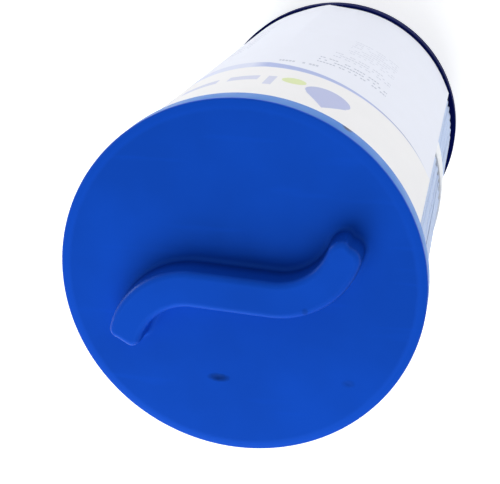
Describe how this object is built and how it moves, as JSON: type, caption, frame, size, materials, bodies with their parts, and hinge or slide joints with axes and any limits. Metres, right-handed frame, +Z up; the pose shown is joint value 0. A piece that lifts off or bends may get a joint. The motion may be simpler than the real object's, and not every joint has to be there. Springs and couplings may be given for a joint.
{
  "type": "filter cartridge",
  "caption": "Upright pleated filter cartridge with a cast S-shaped lifting handle on the closed top cap and an open pipe-thread fitting under the bottom cap.",
  "frame": {"origin": "centre of the threaded fitting's open end, the lowest plane of the part", "axes": "+Z up along the cartridge's axis towards the lifting handle; +X roughly along the middle stretch of the S-shaped handle"},
  "size_m": [0.1254, 0.1254, 0.2751],
  "materials": {
    "blue_urethane": "satin-gloss cast urethane, royal blue",
    "navy_urethane": "satin cast urethane, navy",
    "fitting_plastic": "smooth moulded plastic, off-white",
    "core_plastic": "moulded plastic, white",
    "filter_media": "spun-bonded polyester felt, white with a cool blue cast",
    "hot_melt": "translucent hot-melt adhesive, pale amber",
    "band_web": "close-woven polyester strap, white",
    "label_paper": "coated printed sheet, cream and pale lilac with a blue-grey stripe"
  },
  "bodies": {
    "root": {"top_end_cap": "blue_urethane", "bottom_end_cap": "navy_urethane", "threaded_fitting": "fitting_plastic", "center_core": "core_plastic", "pleated_media": "filter_media", "media_side_seam": "hot_melt", "mid_band": "band_web", "label_sheet": "label_paper"}
  },
  "joints": []
}
